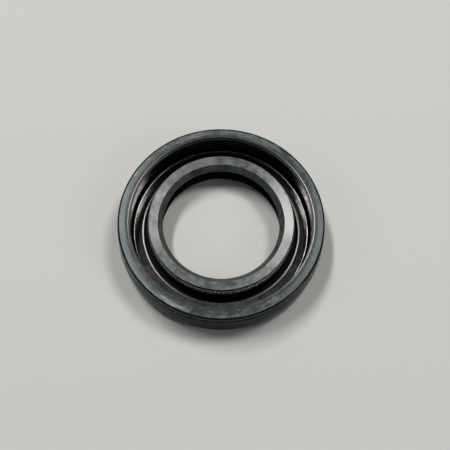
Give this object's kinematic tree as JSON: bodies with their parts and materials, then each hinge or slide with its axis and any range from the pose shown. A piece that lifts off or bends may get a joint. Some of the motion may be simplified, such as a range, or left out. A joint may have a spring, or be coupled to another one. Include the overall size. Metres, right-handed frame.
{
  "type": "radial shaft seal",
  "caption": "Rubber covered rotary shaft seal with a steel case, a spring-loaded main lip and a dust lip, for pressing into a round housing.",
  "frame": {"origin": "centre of the back face, where the seal rests, on the shaft's axis", "axes": "+Z along the shaft's axis, from the back face towards the open side with the spring (the oil side); X and Y are across the seal"},
  "size_m": [0.04, 0.04, 0.007],
  "materials": {
    "nitrile_rubber": "satin moulded rubber, near black, with dusty scuffs on its faces",
    "case_steel": "bare pressed steel under a thin brown film of bonding lacquer, brushed across",
    "spring_steel": "drawn spring wire, lightly oiled"
  },
  "bodies": {
    "root": {"seal_body": "nitrile_rubber", "metal_case": "case_steel", "garter_spring": "spring_steel"}
  },
  "joints": []
}
